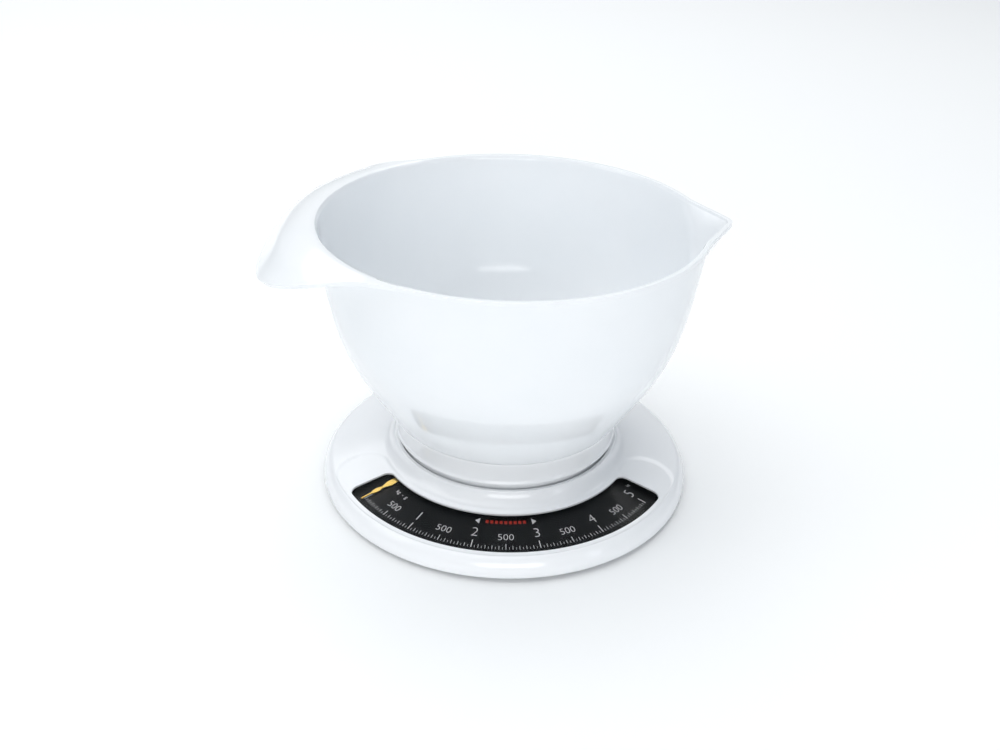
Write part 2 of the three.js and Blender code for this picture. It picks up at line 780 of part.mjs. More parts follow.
// A close coil with a straight stem at each end that passes its lever and ends in a bent toe.
function springGeometry() {
  const top = zeroPivotZ;
  const coilStart = springFoot + 3.2;
  const coilEnd = top - 3.2;
  const stem = (z, toe) => [
    new THREE.Vector3(toe * 2, springY, z),
    new THREE.Vector3(toe * 0.7, springY, z),
    new THREE.Vector3(0, springY, z + (z > 20 ? -0.9 : 0.9)),
  ];
  const points = stem(springFoot - leverWall / 2 - 1, 1);
  points.push(new THREE.Vector3(0, springY, coilStart - 1.4));
  const steps = springTurns * 8;
  for (let i = 0; i <= steps; i++) {
    const turn = (i / 8) * 2 * Math.PI;
    const height = THREE.MathUtils.lerp(coilStart, coilEnd, i / steps);
    points.push(
      new THREE.Vector3(springRadius * Math.cos(turn), springY + springRadius * Math.sin(turn), height),
    );
  }
  points.push(new THREE.Vector3(0, springY, coilEnd + 1.4));
  points.push(...stem(top + leverWall / 2 + 1, -1).reverse());
  const path = new THREE.CatmullRomCurve3(points);
  const section = new THREE.Shape().absarc(0, 0, wireRadius, 0, 2 * Math.PI);
  return new THREE.ExtrudeGeometry(section, {
    steps: steps + 14,
    extrudePath: path,
    curveSegments: 3,
    bevelEnabled: false,
  });
}

function bridgeGeometry() {
  const bottom = panTop + seat;
  const legY = crankY + 1;
  const cheek = 3.1;
  const rackTop = rackZ + rackWall / 2;
  return cut(
    join(
      block(-3, 9, legY, zeroPivotY + 1, bottom, bottom + earWall),
      block(-3, 4.3, legY, legY + earWall, bottom, zeroPivotZ + 2),
      block(-4.3, 4.3, legY, legY + earWall, rackTop + 2, zeroPivotZ + 2),
      block(-4.3, -cheek, legY, zeroPivotY + 2, zeroPivotZ - 2, zeroPivotZ + 2),
      block(cheek, 4.3, legY, zeroPivotY + 2, zeroPivotZ - 2, zeroPivotZ + 2),
    ),
    block(-cheek, cheek, legY - 1, legY + 3, zeroPivotZ - 1.6, zeroPivotZ + 3),
    crossRod(1 + running, -6, 6, zeroPivotY, zeroPivotZ),
    ...bridgeScrewX.map((x) => rod(1.4, bottom - 1, bottom + 3, x, bridgeScrewY, 12)),
  );
}

const bridgeScrewX = [0, 6.2];
const bridgeScrewY = zeroPivotY - 1.8;
const zeroTailZ = fulcrumZ - 2.4;

// The zero lever, in the part's frame: a bent strip seen from the side, with its stud.
function zeroLeverGeometry() {
  const half = leverWall / 2;
  const highEnd = fulcrumY + 2;
  const lowStart = mouthInner - 3;
  const route = [
    [springY - 2.5, zeroPivotZ],
    [highEnd, zeroPivotZ],
    [lowStart, zeroTailZ],
    [zeroStudY + 3, zeroTailZ],
  ];
  const shape = new THREE.Shape();
  const lean = Math.atan2(zeroPivotZ - zeroTailZ, lowStart - highEnd) / 2;
  const nudge = half * Math.tan(lean);
  const offsets = [0, nudge, nudge, 0];
  route.forEach(([y, z], i) => {
    const where = [y + offsets[i], z + half];
    if (i === 0) shape.moveTo(...where);
    else shape.lineTo(...where);
  });
  [...route.keys()].reverse().forEach((i) => shape.lineTo(route[i][0] - offsets[i], route[i][1] - half));
  const strip = plate(shape.closePath(), -2.5, 2.5).rotateX(Math.PI / 2).rotateZ(Math.PI / 2);
  return cut(
    join(
      strip,
      crossRod(2.2, -2.5, 2.5, zeroPivotY, zeroPivotZ),
      rod(1.5, zeroTailZ, zeroWheelZ + zeroWheelWall + 0.3, 0, zeroStudY, 12),
    ),
    rod(1.2, zeroPivotZ - 3, zeroPivotZ + 3, 0, springY, 12),
    crossRod(1 + running, -6, 6, zeroPivotY, zeroPivotZ),
  );
}

const zeroWheelZ = panStand + panWall + panRise + 0.6;

function zeroWheelGeometry() {
  const ribs = 28;
  const shape = new THREE.Shape();
  for (let rib = 0; rib < ribs; rib++) {
    const angle = (rib / ribs) * 2 * Math.PI;
    const step = (Math.PI / ribs) * 0.5;
    const corners = [
      polar(zeroWheelRadius - 0.6, angle - step),
      polar(zeroWheelRadius, angle - step / 2),
      polar(zeroWheelRadius, angle + step),
    ];
    corners.forEach(([x, y], i) => (rib + i === 0 ? shape.moveTo(x, y) : shape.lineTo(x, y)));
  }
  return cut(plate(shape.closePath(), 0, zeroWheelWall), rod(1.9, -1, zeroWheelWall + 1));
}

// ---- Housing

const bossRadius = 4;
const bossRing = baseRadius - 16;
const bossAngles = [-2, 60, 120, 182].map((angle) => angle * degrees);
const bossPoints = bossAngles.map((angle) => polar(bossRing, angle));
const footRing = baseRadius - 20;
const footAngles = [45, 135, 225, 315].map((angle) => angle * degrees);
const footPoints = footAngles.map((angle) => polar(footRing, angle));
const dialScrewRing = (windowInner + windowOuter) / 2;
const dialScrewPoints = [-1, 1].map((side) => polar(dialScrewRing, -Math.PI / 2 + side * dialScrewSweep));
const footPlug = 2.1;

function coverGeometry() {
  const outline = [
    [baseRadius, skirtClear],
    ...bezier(
      [
        [baseRadius, skirtClear + 2.2],
        [baseRadius, skirtClear + 5.4],
        [baseRadius - 2.8, shoulderHeight - 0.6],
        [shoulderRadius, shoulderHeight],
      ],
      4,
    ),
    ...bezier(
      [
        [coneInner, coneHeight(coneInner)],
        [coneInner - 2.4, coneHeight(coneInner) + 0.5],
        [mouthOuter + 0.9, mouthHeight - 3.6],
        [mouthOuter, mouthHeight - 0.4],
      ],
      3,
    ),
    [mouthOuter - 0.5, mouthHeight],
    [mouthInner, mouthHeight],
    [mouthInner, coneHeight(mouthInner) - coverWall],
    [shoulderRadius, shoulderHeight - coverWall],
    [skirtInner - 0.6, shoulderHeight - coverWall - 2],
    [skirtInner, panTop + panRise - 2],
    [skirtInner, skirtClear],
  ];
  const bosses = bossPoints.map(([x, y]) =>
    rod(bossRadius, panTop + gap, coneHeight(bossRing + bossRadius) - 0.2, x, y, 16),
  );
  const wheelStop = rod(4, zeroWheelZ + zeroWheelWall + gap, coneHeight(zeroStudY + 4) - 0.4, 0, zeroStudY);
  const trackInner = coneInner + trackMargin;
  const trackOuter = shoulderRadius + 0.3;
  const trackShape = sectorShape(trackInner, trackOuter, trackHalfSweep, (trackOuter - trackInner) / 2);
  const windowShape = sectorShape(windowInner, windowOuter, windowHalfSweep, windowCorner);
  const slotStart = shoulderRadius - 1.5;
  const slotHalf = Math.sqrt(zeroWheelRadius ** 2 - (slotStart - zeroStudY) ** 2) + gap;
  const wheelSlot = block(
    -slotHalf,
    slotHalf,
    slotStart,
    baseRadius + 2,
    zeroWheelZ - 0.5,
    zeroWheelZ + zeroWheelWall + 0.5,
  );
  return cut(
    join(turned(outline, housingSides), ...bosses, wheelStop),
    coneLayer(trackShape, -4, trackDepth),
    plate(windowShape, 0, 40),
    wheelSlot,
    rod(2.2, zeroWheelZ, zeroWheelZ + zeroWheelWall + 1.8, 0, zeroStudY),
    ...bossPoints.map(([x, y]) => rod(1.4, panTop, panTop + 6.5, x, y, 12)),
  );
}

function windowGeometry() {
  const sweep = windowHalfSweep - gap / windowOuter;
  const pad = sectorShape(windowInner + gap, windowOuter - gap, sweep, windowCorner);
  const spread = flangeWidth / windowOuter;
  const flange = sectorShape(
    windowInner - flangeWidth,
    windowOuter + flangeWidth,
    windowHalfSweep + spread,
    windowCorner,
  );
  const top = coverWall + seat;
  return join(coneLayer(pad, trackDepth, top + flangeWall), coneLayer(flange, top, top + flangeWall));
}

function dialGeometry() {
  const shape = sectorShape(mouthOuter - 1, windowOuter + 1, dialHalfSweep, 3);
  const holes = dialScrewPoints.map(([x, y]) => rod(1.5, 0, 40, x, y, 12));
  return cut(coneLayer(shape, dialDepth, dialDepth + dialWall), ...holes);
}

function dialPostTop(ring) {
  return coneHeight(ring + 3) - dialDepth - dialWall - seat;
}

function panGeometry() {
  const outline = [
    [0, panStand],
    [panOuter - 0.8, panStand],
    [panOuter, panStand + 0.8],
    [panOuter, panTop + panRise],
    [panOuter - 2, panTop + panRise],
    [panOuter - 2, panTop],
    [0, panTop],
  ];
  const posts = [
    ...[-1, 1].map((side) => rod(2.4, panTop - 1, cageFloor - seat, side * cageScrewX, cageScrewY)),
    ...dialScrewPoints.map(([x, y]) => rod(3, panTop - 1, dialPostTop(dialScrewRing), x, y)),
    rod(3, panTop - 1, dialPostTop(windowOuter - 4), 0, -windowOuter + 4),
  ];
  const blind = (x, y) => rod(1.4, panTop - 1.6, panTop + 1, x, y, 12);
  const holes = [
    ...footPoints.map(([x, y]) => rod(footPlug + gap, 0, panTop + 1, x, y)),
    ...bossPoints.map(([x, y]) => rod(1.6, 0, panTop + 1, x, y, 12)),
    ...bracketScrewPoints.map(([x, y]) => blind(x, y)),
    ...bridgeScrewX.map((x) => blind(x, bridgeScrewY)),
    blind(crankX - 5.4, crankY),
    ...[-1, 1].map((side) => rod(1.4, cageFloor - 6, cageFloor + 1, side * cageScrewX, cageScrewY, 12)),
    ...dialScrewPoints.map(([x, y]) => rod(1.4, dialPostTop(dialScrewRing) - 5, 20, x, y, 12)),
  ];
  return cut(join(turned(outline, housingSides), ...posts), ...holes);
}

const bracketScrewPoints = cornerPoints(bracketScrewX, fulcrumY);

function footGeometry() {
  return turned(
    [
      [0, 0],
      [7, 0],
      [7.4, 0.4],
      [7, panStand - gap],
      [footPlug, panStand - gap],
      [footPlug, panTop + gap],
      [footPlug + 0.8, panTop + gap],
      [footPlug - 0.5, panTop + gap + 1.7],
      [0, panTop + gap + 1.7],
    ],
    16,
  );
}

// ---- The scene graph

const scale = new THREE.Group();
scale.position.x = groupShift;

// Adds one screw for each point, head down when it drives up, head up when it drives down.
function addScrews(name, points, z, length, drive) {
  points.forEach(([x, y], i) => {
    const screw = piece(`${name}_${i + 1}`, screwGeometry(length), "steel", [x, y, z]);
    if (drive === "down") screw.rotation.x = Math.PI;
    scale.add(screw);
  });
}

scale.add(piece("base_pan", panGeometry(), "shell"));
scale.add(piece("top_cover", coverGeometry(), "shell"));
scale.add(piece("dial_window", windowGeometry(), "clear"));
scale.add(piece("dial_plate", dialGeometry(), "dial"));
footPoints.forEach(([x, y], i) => scale.add(piece(`foot_${i + 1}`, footGeometry(), "rubber", [x, y, 0])));
addScrews("housing_screw", bossPoints, panStand - seat, 7, "up");
addScrews("bracket_screw", bracketScrewPoints, panTop + seat + 1.4 + seat, 2.6, "down");
addScrews(
  "dial_screw",
  dialScrewPoints,
  coneHeight(dialScrewRing - 2.5) - dialDepth + seat,
  5.2,
  "down",
);

scale.add(piece("front_fulcrum_bracket", fulcrumBracketGeometry(mainFulcrumX), "steel", [0, -fulcrumY, 0]));
scale.add(piece("rear_fulcrum_bracket", fulcrumBracketGeometry(shortFulcrumX), "steel", [0, fulcrumY, 0]));

const mainLeverGroup = new THREE.Group();
mainLeverGroup.position.set(0, -fulcrumY, fulcrumZ);
mainLeverGroup.rotation.x = restTilt;
mainLeverGroup.add(piece("main_lever", mainLeverGeometry(), "steel"));
scale.add(mainLeverGroup);

const shortLeverGroup = new THREE.Group();
shortLeverGroup.position.set(0, fulcrumY, fulcrumZ);
shortLeverGroup.rotation.x = -restTilt;
shortLeverGroup.add(piece("short_lever", shortLeverGeometry(), "steel"));
scale.add(shortLeverGroup);

scale.add(piece("movement_cage", cageGeometry(), "steel"));
const cageScrewPoints = [-1, 1].map((side) => [side * cageScrewX, cageScrewY]);
addScrews("cage_screw", cageScrewPoints, cageFloor + cageWall + seat, 6, "down");
scale.add(piece("arbor_bush_lower", bushGeometry(2.4), "nylon", [0, 0, cageFloor - 0.8]));
scale.add(piece("arbor_bush_upper", bushGeometry(2.4), "nylon", [0, 0, cageRoof - 0.8]));
scale.add(piece("rack_keeper", keeperGeometry(), "nylon"));
scale.add(piece("rack", rackGeometry(), "brass"));

const crankGroup = new THREE.Group();
crankGroup.position.set(crankX, crankY, 0);
const crank = piece("bell_crank", crankGeometry(), "brass", [0, 0, fulcrumZ]);
crank.rotation.x = -crankSwing;
crankGroup.add(crank);
crankGroup.add(piece("crank_bracket", crankBracketGeometry(), "steel"));
crankGroup.add(piece("crank_pin", crossRod(0.9, -2.6, 2.6, 0, fulcrumZ), "steel"));
scale.add(crankGroup);
addScrews("crank_screw", [[crankX - 5.4, crankY]], panTop + seat + 1.2 + seat, 2.4, "down");

const pointerGroup = new THREE.Group();
pointerGroup.rotation.z = -Math.PI / 2 - dialTurn / 2;
pointerGroup.add(piece("pointer", pointerGeometry(), "gold", [0, 0, pointerZ]));
pointerGroup.add(piece("pointer_hub", hubGeometry(), "brass", [0, 0, pointerZ + pointerWall + seat]));
scale.add(pointerGroup);
scale.add(piece("pointer_arbor", arborGeometry(), "steel"));
scale.add(piece("pinion", pinionGeometry(), "brass"));

scale.add(piece("main_spring", springGeometry(), "steel"));
scale.add(piece("spring_bridge", bridgeGeometry(), "steel"));
const bridgeScrewPoints = bridgeScrewX.map((x) => [x, bridgeScrewY]);
addScrews("bridge_screw", bridgeScrewPoints, panTop + seat + earWall + seat, 2.8, "down");
scale.add(piece("zero_lever", zeroLeverGeometry(), "steel"));
scale.add(piece("zero_lever_pin", crossRod(1, -4.8, 4.8, zeroPivotY, zeroPivotZ), "steel"));
scale.add(piece("zero_wheel", zeroWheelGeometry(), "nylon", [0, zeroStudY, zeroWheelZ]));

scale.add(piece("platform_deck", deckGeometry(), "shell"));
scale.add(piece("load_frame", loadFrameGeometry(), "steel"));
addScrews("load_frame_screw", cornerPoints(postX, postY), frameZ - seat, 8, "up");
scale.add(piece("mixing_bowl", bowlGeometry(), "bowl"));

export default scale;
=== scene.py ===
import math
import bpy
from mathutils import Matrix, Vector


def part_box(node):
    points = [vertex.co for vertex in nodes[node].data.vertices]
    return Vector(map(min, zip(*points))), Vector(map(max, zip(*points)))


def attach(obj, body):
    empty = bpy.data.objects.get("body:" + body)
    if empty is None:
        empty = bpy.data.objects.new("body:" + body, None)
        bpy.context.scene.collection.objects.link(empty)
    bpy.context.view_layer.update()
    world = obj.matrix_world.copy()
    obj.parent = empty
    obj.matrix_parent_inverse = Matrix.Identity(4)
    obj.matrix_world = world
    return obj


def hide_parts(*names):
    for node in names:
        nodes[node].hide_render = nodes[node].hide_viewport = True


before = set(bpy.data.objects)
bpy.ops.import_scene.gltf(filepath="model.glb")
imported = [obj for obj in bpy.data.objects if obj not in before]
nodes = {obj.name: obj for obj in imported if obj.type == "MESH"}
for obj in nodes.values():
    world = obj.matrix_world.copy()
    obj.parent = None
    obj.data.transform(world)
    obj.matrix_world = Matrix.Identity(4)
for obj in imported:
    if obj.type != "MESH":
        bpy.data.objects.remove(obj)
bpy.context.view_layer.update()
print("frame loaded,", len(nodes), "nodes")

mm = 0.001
coverLow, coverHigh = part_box("top_cover")
bowlLow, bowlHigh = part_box("mixing_bowl")
axisX = (coverLow.x + coverHigh.x) / 2
baseRadius = (coverHigh.y - coverLow.y) / 2 / mm
rimHeight = bowlHigh.z / mm
frontAngle = -90  # degrees round the scale's axis, where 0 points along X to the spout


# small helpers for edit mode

def deselectAll():
    if bpy.context.object and bpy.context.object.mode != "OBJECT":
        bpy.ops.object.mode_set(mode="OBJECT")
    bpy.ops.object.select_all(action="DESELECT")


def pickOnly(piece):
    deselectAll()
    piece.select_set(True)
    bpy.context.view_layer.objects.active = piece


def applyModifiers(piece):
    pickOnly(piece)
    for modifier in list(piece.modifiers):
        bpy.ops.object.modifier_apply(modifier=modifier.name)


def settle(piece):
    pickOnly(piece)
    bpy.ops.object.transform_apply(location=True, rotation=True, scale=True)


def smooth(piece, angle=35):
    pickOnly(piece)
    bpy.ops.object.shade_smooth_by_angle(angle=math.radians(angle))


def editAll(piece):
    pickOnly(piece)
    bpy.ops.object.mode_set(mode="EDIT")
    bpy.ops.mesh.select_all(action="SELECT")


def recalculate(piece):
    editAll(piece)
    bpy.ops.mesh.remove_doubles(threshold=0.004 * mm)
    bpy.ops.mesh.normals_make_consistent(inside=False)
    bpy.ops.object.mode_set(mode="OBJECT")


def joinPieces(pieces, name):
    pickOnly(pieces[0])
    for piece in pieces:
        piece.select_set(True)
    bpy.ops.object.join()
    pieces[0].name = name
    return pieces[0]


def boolean(piece, tool, operation):
    modifier = piece.modifiers.new("carve", "BOOLEAN")
    modifier.object = tool
    modifier.operation = operation
    modifier.solver = "EXACT"
    applyModifiers(piece)
    bpy.data.objects.remove(tool)


def polar(radius, roundAngle):
    angle = math.radians(roundAngle)
    return radius * math.cos(angle), radius * math.sin(angle)


def bezier(start, startPull, endPull, end, steps):
    corners = (start, startPull, endPull, end)
    points = []
    for step in range(steps + 1):
        t = step / steps
        weights = ((1 - t) ** 3, 3 * t * (1 - t) ** 2, 3 * t * t * (1 - t), t ** 3)
        points.append(tuple(sum(weight * corner[axis] for weight, corner in zip(weights, corners))
                            for axis in (0, 1)))
    return points


# A circle at the outline's first point is extruded and scaled from point to point.
# Its two ends are bridged to each other where closed is true, or each filled where capped is.
def turnPiece(name, outline, sides=240, closed=False, capped=False, at=(0, 0)):
    deselectAll()
    middle = (axisX + at[0] * mm, at[1] * mm)
    radius, height = outline[0]
    bpy.ops.mesh.primitive_circle_add(vertices=sides, radius=radius * mm,
                                      location=(*middle, height * mm))
    piece = bpy.context.object
    piece.name = name
    settle(piece)
    bpy.ops.object.mode_set(mode="EDIT")
    bpy.ops.mesh.select_mode(type="EDGE")
    bpy.ops.mesh.select_all(action="SELECT")
    for nextRadius, nextHeight in outline[1:]:
        rise = (0, 0, (nextHeight - height) * mm)
        share = nextRadius / radius
        bpy.ops.mesh.extrude_edges_move(TRANSFORM_OT_translate={"value": rise})
        bpy.ops.transform.resize(value=(share, share, 1),
                                 center_override=(*middle, nextHeight * mm))
        radius, height = nextRadius, nextHeight
    if closed or capped:
        bpy.ops.mesh.select_all(action="DESELECT")
        bpy.ops.mesh.select_non_manifold()
        if closed:
            bpy.ops.mesh.bridge_edge_loops()
        else:
            bpy.ops.mesh.fill_holes(sides=sides)
    bpy.ops.mesh.select_mode(type="VERT")
    bpy.ops.object.mode_set(mode="OBJECT")
    if closed or capped:
        recalculate(piece)
    return piece


# A flat outline of points in millimetres, filled and extruded upwards, about the scale's axis
# unless middle says otherwise.
def standOutline(name, points, low, high, middle=axisX):
    deselectAll()
    bpy.ops.mesh.primitive_circle_add(vertices=len(points), radius=1, fill_type="NGON")
    piece = bpy.context.object
    piece.name = name
    for vertex, (x, y) in zip(piece.data.vertices, points):
        vertex.co = (middle + x * mm, y * mm, low * mm)
    editAll(piece)
    rise = (0, 0, (high - low) * mm)
    bpy.ops.mesh.extrude_region_move(TRANSFORM_OT_translate={"value": rise})
    bpy.ops.object.mode_set(mode="OBJECT")
    recalculate(piece)
    return piece


def arc(center, radius, start, end, steps):
    points = []
    for step in range(steps + 1):
        x, y = polar(radius, start + (end - start) * step / steps)
        points.append((center[0] + x, center[1] + y))
    return points


# A sector of a ring round the front, with rounded corners.
def frontSector(inner, outer, halfSweep, corner, steps=64, cornerSteps=10):
    axis = (0, 0)
    outerRing, innerRing = outer - corner, inner + corner
    outerEnd = halfSweep - math.degrees(math.asin(corner / outerRing))
    innerEnd = halfSweep - math.degrees(math.asin(corner / innerRing))
    outerRight = polar(outerRing, frontAngle + outerEnd)
    innerRight = polar(innerRing, frontAngle + innerEnd)
    innerLeft = polar(innerRing, frontAngle - innerEnd)
    outerLeft = polar(outerRing, frontAngle - outerEnd)
    points = []
    for center, radius, start, end, count in (
            (axis, outer, -outerEnd, outerEnd, steps),
            (outerRight, corner, outerEnd, halfSweep + 90, cornerSteps),
            (innerRight, corner, halfSweep + 90, innerEnd + 180, cornerSteps),
            (axis, inner, innerEnd, -innerEnd, steps),
            (innerLeft, corner, -innerEnd - 180, -halfSweep - 90, cornerSteps),
            (outerLeft, corner, -halfSweep - 90, -outerEnd, cornerSteps)):
        points += arc(center, radius, frontAngle + start, frontAngle + end, count)
    return points


# materials

def linear(hexColor):
    values = [int(hexColor[i:i + 2], 16) / 255 for i in (1, 3, 5)]
    return [v / 12.92 if v <= 0.04045 else ((v + 0.055) / 1.055) ** 2.4 for v in values] + [1]


# A name sets the node's own property or its socket, and a number sets a socket by its place.
def addNode(material, kind, settings=None, links=None):
    node = material.node_tree.nodes.new(kind)
    for key, value in (settings or {}).items():
        if isinstance(key, str) and hasattr(node, key):
            setattr(node, key, value)
        else:
            node.inputs[key].default_value = value
    for key, source in (links or {}).items():
        material.node_tree.links.new(source, node.inputs[key])
    return node


def startMaterial(name, **values):
    material = bpy.data.materials.new(name)
    material.use_nodes = True
    shader = material.node_tree.nodes["Principled BSDF"]
    for key, value in values.items():
        shader.inputs[key.replace("_", " ")].default_value = value
    return material, shader


def linkTo(material, source, shader, socket):
    material.node_tree.links.new(source, shader.inputs[socket])


# Pattern sizes in millimetres, and how strong each bump is.
grains = {
    "mottle": 45,
    "wear": 9,
    "wearRange": (0.3, 0.7),
    "rippleStrength": 0.05,
    "rippleHeight": 0.1,
    "toolStrength": 0.2,
    "toolHeight": 0.05,
}
mixPale, mixDeep, mixShare, mixResult = 6, 7, 0, 2  # sockets of a colour Mix node


def perMetre(sizeMm):
    return 1000 / sizeMm


# Moulded plastic: faint flow mottling in colour and gloss, and a ripple too shallow to see
# head on.
def mouldedPlastic(name, pale, deep, gloss, rippleMm, **values):
    material, shader = startMaterial(name, **values)
    place = addNode(material, "ShaderNodeTexCoord").outputs["Object"]
    mottle = addNode(material, "ShaderNodeTexNoise",
                     {"Scale": perMetre(grains["mottle"]), "Detail": 3.0, "Roughness": 0.55},
                     {"Vector": place})
    tint = addNode(material, "ShaderNodeMix",
                   {"data_type": "RGBA", mixPale: linear(pale), mixDeep: linear(deep)},
                   {mixShare: mottle.outputs["Fac"]})
    linkTo(material, tint.outputs[mixResult], shader, "Base Color")
    wear = addNode(material, "ShaderNodeTexNoise",
                   {"Scale": perMetre(grains["wear"]), "Detail": 4.0}, {"Vector": place})
    least, most = grains["wearRange"]
    polish = addNode(material, "ShaderNodeMapRange",
                     {"From Min": least, "From Max": most, "To Min": gloss[0], "To Max": gloss[1]},
                     {"Value": wear.outputs["Fac"]})
    linkTo(material, polish.outputs["Result"], shader, "Roughness")
    ripple = addNode(material, "ShaderNodeTexNoise",
                     {"Scale": perMetre(rippleMm), "Detail": 1.0}, {"Vector": place})
    bump = addNode(material, "ShaderNodeBump",
                   {"Strength": grains["rippleStrength"], "Distance": grains["rippleHeight"] * mm},
                   {"Height": ripple.outputs["Fac"]})
    linkTo(material, bump.outputs["Normal"], shader, "Normal")
    return material


# Worked metal: fine marks along one axis that spread the highlight across them.
def workedMetal(name, pale, deep, gloss, grainMm, stretch):
    material, shader = startMaterial(name, Metallic=1.0)
    place = addNode(material, "ShaderNodeTexCoord").outputs["Object"]
    along = addNode(material, "ShaderNodeMapping", {"Scale": stretch}, {"Vector": place})
    grain = addNode(material, "ShaderNodeTexNoise",
                    {"Scale": perMetre(grainMm), "Detail": 5.0, "Roughness": 0.6},
                    {"Vector": along.outputs["Vector"]})
    tint = addNode(material, "ShaderNodeMix",
                   {"data_type": "RGBA", mixPale: linear(pale), mixDeep: linear(deep)},
                   {mixShare: grain.outputs["Fac"]})
    linkTo(material, tint.outputs[mixResult], shader, "Base Color")
    polish = addNode(material, "ShaderNodeMapRange", {"To Min": gloss[0], "To Max": gloss[1]},
                     {"Value": grain.outputs["Fac"]})
    linkTo(material, polish.outputs["Result"], shader, "Roughness")
    bump = addNode(material, "ShaderNodeBump",
                   {"Strength": grains["toolStrength"], "Distance": grains["toolHeight"] * mm},
                   {"Height": grain.outputs["Fac"]})
    linkTo(material, bump.outputs["Normal"], shader, "Normal")
    return material


# polypropylene, injection moulded: milky, so light bleeds into the thin wall and rim
bowlPolypropylene = mouldedPlastic("bowlPolypropyleneMoulded", "#f4f6f8", "#eef2f5", (0.07, 0.12),
                                   14, IOR=1.49, Subsurface_Weight=0.25, Subsurface_Scale=4 * mm,
                                   Subsurface_Radius=(1.0, 1.0, 1.0))
# ABS, injection moulded in a polished tool: denser white with a crisp gloss
shellAbs = mouldedPlastic("shellAbsMoulded", "#fafbfc", "#f4f6f8", (0.09, 0.15), 18,
                          IOR=1.53)
# acrylic, moulded clear: a thin window that mostly shows by its reflection
windowAcrylic = mouldedPlastic("windowAcrylicMoulded", "#0d1216", "#0a0e12", (0.03, 0.05), 60,
                               IOR=1.49, Alpha=0.10)
windowAcrylic.surface_render_method = "BLENDED"
# printed sheet: satin black ink over plastic
dialInk = mouldedPlastic("dialInkPrinted", "#030405", "#050608", (0.30, 0.40), 6,
                         Specular_IOR_Level=0.2)
printWhite = mouldedPlastic("dialInkWhite", "#ffffff", "#f4f6f8", (0.4, 0.5), 4, IOR=1.5)
printRed = mouldedPlastic("dialInkRed", "#e23a24", "#c9301c", (0.4, 0.5), 4, IOR=1.5)
# steel strip, pressed and zinc plated: dull grey with a drawn grain
zincSteel = workedMetal("zincPlatedSteelPressed", "#c3c6c8", "#8f9497", (0.28, 0.46), 0.6,
                        (1, 12, 1))
# steel wire, drawn and coiled: darker, with the grain along the spring
springSteel = workedMetal("springSteelDrawn", "#9a9ca0", "#6f7276", (0.22, 0.34), 0.5, (1, 1, 8))
# brass, machined: warm with tool marks across
machinedBrass = workedMetal("brassMachined", "#d2b26a", "#a98743", (0.2, 0.34), 0.5, (10, 1, 1))
# gold lacquer over a stamped strip: even and satin
goldLacquer = workedMetal("goldLacquerStamped", "#ffe08a", "#f0c55a", (0.22, 0.32), 0.8, (1, 1, 1))
# nylon, moulded: waxy and slightly yellow
nylonMoulded = mouldedPlastic("nylonMoulded", "#e9e6da", "#dad6c6", (0.38, 0.5), 5,
                              IOR=1.53)
# rubber, moulded: dark and matt
footRubber = mouldedPlastic("rubberMoulded", "#2c2d2f", "#3b3c3e", (0.62, 0.8), 2, IOR=1.5)
print("materials ready")


def dress(piece, material):
    piece.data.materials.clear()
    piece.data.materials.append(material)


def finishPiece(piece, material, body, slotName, *replaced, angle=35):
    dress(piece, material)
    smooth(piece, angle)
    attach(piece, body)
    if replaced:
        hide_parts(*replaced)


# the mixing bowl: one sheet from its foot up the outside and out over the lip, then given its wall
bowl = {
    "wall": 2.2,
    "foot": 60.0,
    "footWidth": 3.5,
    "footBottom": bowlLow.z / mm,
    "footRound": 0.5,
    "floor": 42.0,
    "centerHole": 1.2,
    "bellyStart": (63.4, 43.9),
    "lowerPull": (26, 41.8),
    "upperPull": (7.2, 68),
    "bellySteps": 34,
    "rimRadius": 101.1,
    "rimTurn": 0.25,
    "lipReach": 1.0,
    "lipSteps": 14,
    "lipRound": 0.7,
    "sides": 288,
    "handleReach": 28.0,
    "handleDrop": 17.9,
    "handleDropSweep": 52.0,
    "handleFlat": 21.0,
    "handleFade": 43.0,
    "handleDip": 0.1,
    "handleCrease": 0.6,
    "handleFall": 0.9,
    "spoutReach": 11.9,
    "spoutHalfSweep": 18.0,
    "spoutSpread": 1.25,
    "spoutDepth": 26.0,
    "spoutTip": 2.5,
    "spoutSoftness": 0.5,
}


# One where share is nothing or less, easing to nothing where it is one or more.
def eased(share):
    return math.cos(math.radians(90 * min(1, max(0, share)))) ** 2


def angleFromHandle(roundAngle):
    return abs(180 - abs(roundAngle))


# How far the handle stands out at an angle: full over its flat edge, a little less in the middle.
def handleShare(roundAngle):
    away = angleFromHandle(roundAngle)
    dip = bowl["handleDip"] * eased(away / bowl["handleFlat"])
    return eased((away - bowl["handleFlat"]) / bowl["handleFade"]) - dip


def dropShare(roundAngle):
    roundness = 1.6
    return eased((angleFromHandle(roundAngle) / bowl["handleDropSweep"]) ** roundness)


# How far the spout pulls the wall out: two flat sides that meet in a rounded tip.
def spoutPull(roundAngle, height):
    rimRadius, reach = bowl["rimRadius"], bowl["spoutReach"]
    sweep = math.radians(bowl["spoutHalfSweep"])
    furthest = sweep * bowl["spoutSpread"]
    around = abs(math.radians(roundAngle))
    if around > furthest:
        return 0
    tip = rimRadius + reach
    normal = math.atan2(tip - rimRadius * math.cos(sweep), rimRadius * math.sin(sweep))
    blunt = math.radians(bowl["spoutTip"])
    rounded = math.sqrt(around ** 2 + blunt ** 2) - blunt * max(0, 1 - around / sweep)
    side = tip * math.cos(normal) / math.cos(normal - min(rounded, furthest)) - rimRadius
    share = max(0, 1 - (rimHeight - height) / bowl["spoutDepth"])
    pull = side - (1 - share) * reach
    softened = 0.5 * (pull + math.sqrt(pull * pull + bowl["spoutSoftness"] ** 2))
    return softened * min(1, share * 4)  # the last quarter of the depth fades to the round wall


